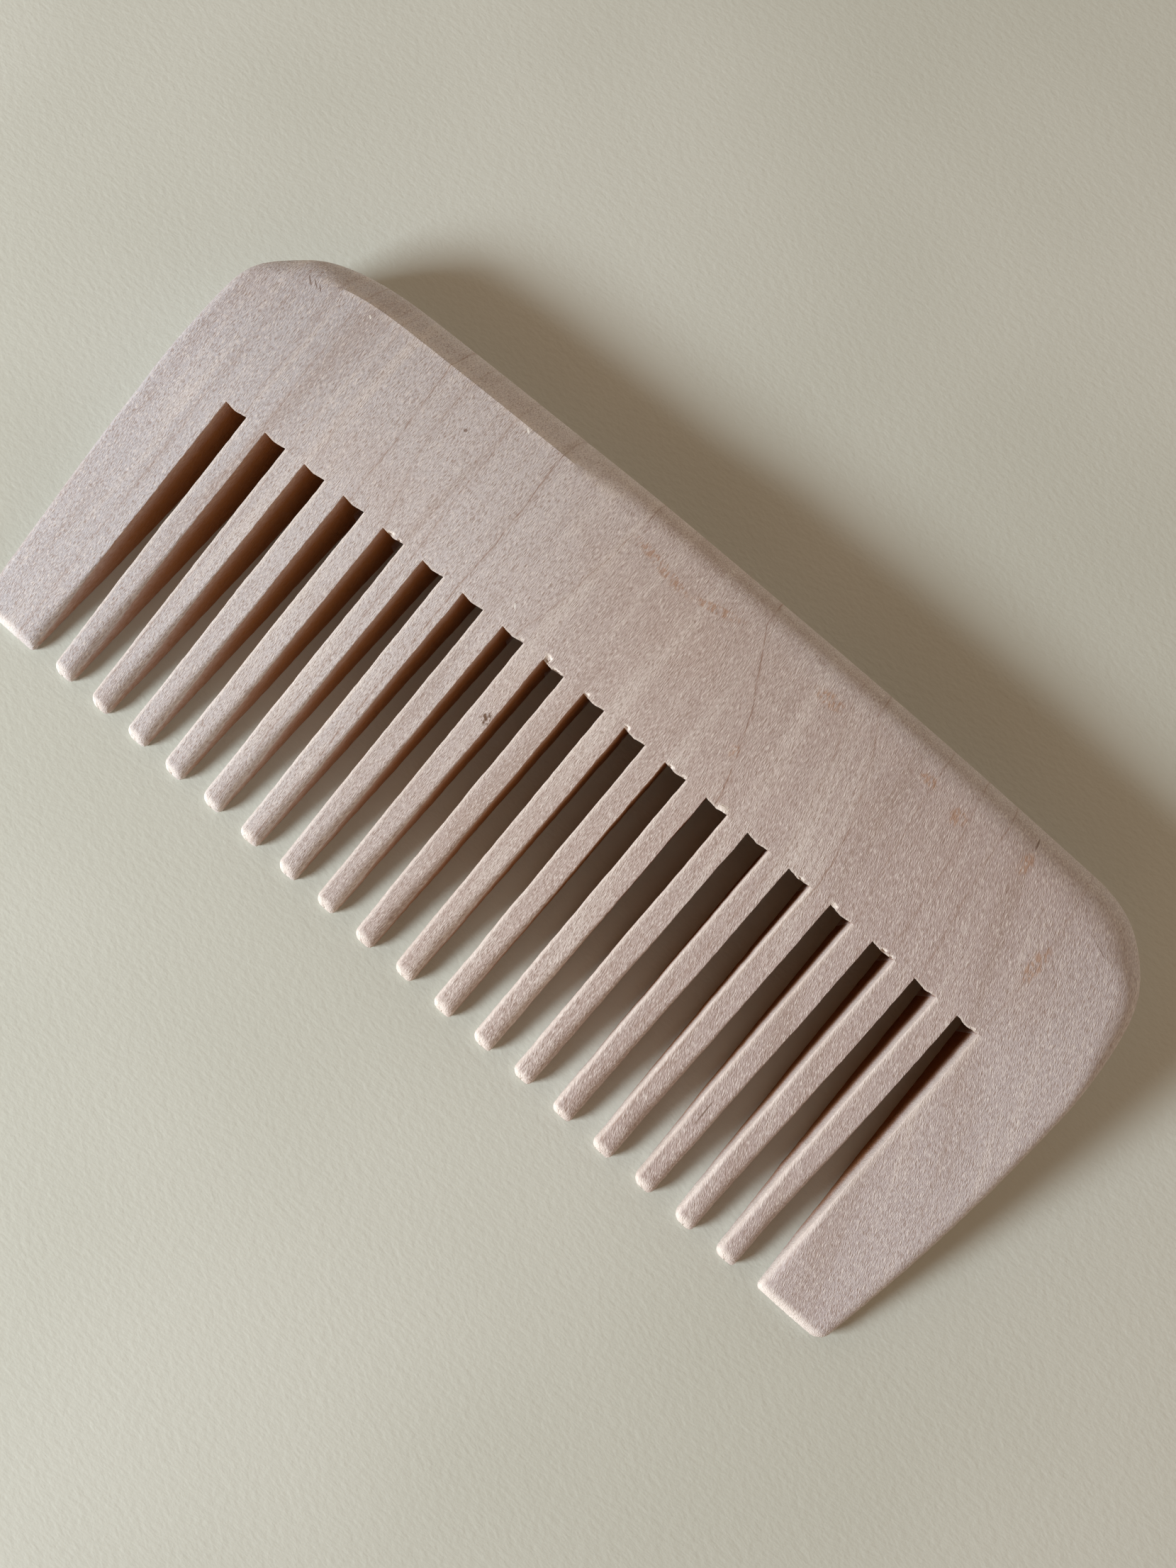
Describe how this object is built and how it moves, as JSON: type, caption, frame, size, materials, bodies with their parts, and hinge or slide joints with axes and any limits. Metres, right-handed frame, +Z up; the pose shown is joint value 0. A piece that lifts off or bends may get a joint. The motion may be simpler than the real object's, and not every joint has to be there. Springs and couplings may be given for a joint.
{
  "type": "beard comb",
  "caption": "Flat wooden beard comb with a thick rounded spine, straight sawn slots and teeth that taper to rounded tips.",
  "frame": {"origin": "middle of the comb's length and width, on the flat underside that it lies on", "axes": "+X along the length, +Y from the tips of the teeth towards the back of the spine, +Z up through the thickness"},
  "size_m": [0.118, 0.054, 0.009],
  "materials": {
    "wood": "bare wood, sanded matte"
  },
  "bodies": {
    "root": {"spine": "wood", "end_tooth_left": "wood", "end_tooth_right": "wood", "tooth_01": "wood", "tooth_02": "wood", "tooth_03": "wood", "tooth_04": "wood", "tooth_05": "wood", "tooth_06": "wood", "tooth_07": "wood", "tooth_08": "wood", "tooth_09": "wood", "tooth_10": "wood", "tooth_11": "wood", "tooth_12": "wood", "tooth_13": "wood", "tooth_14": "wood", "tooth_15": "wood", "tooth_16": "wood", "tooth_17": "wood", "tooth_18": "wood"}
  },
  "joints": []
}
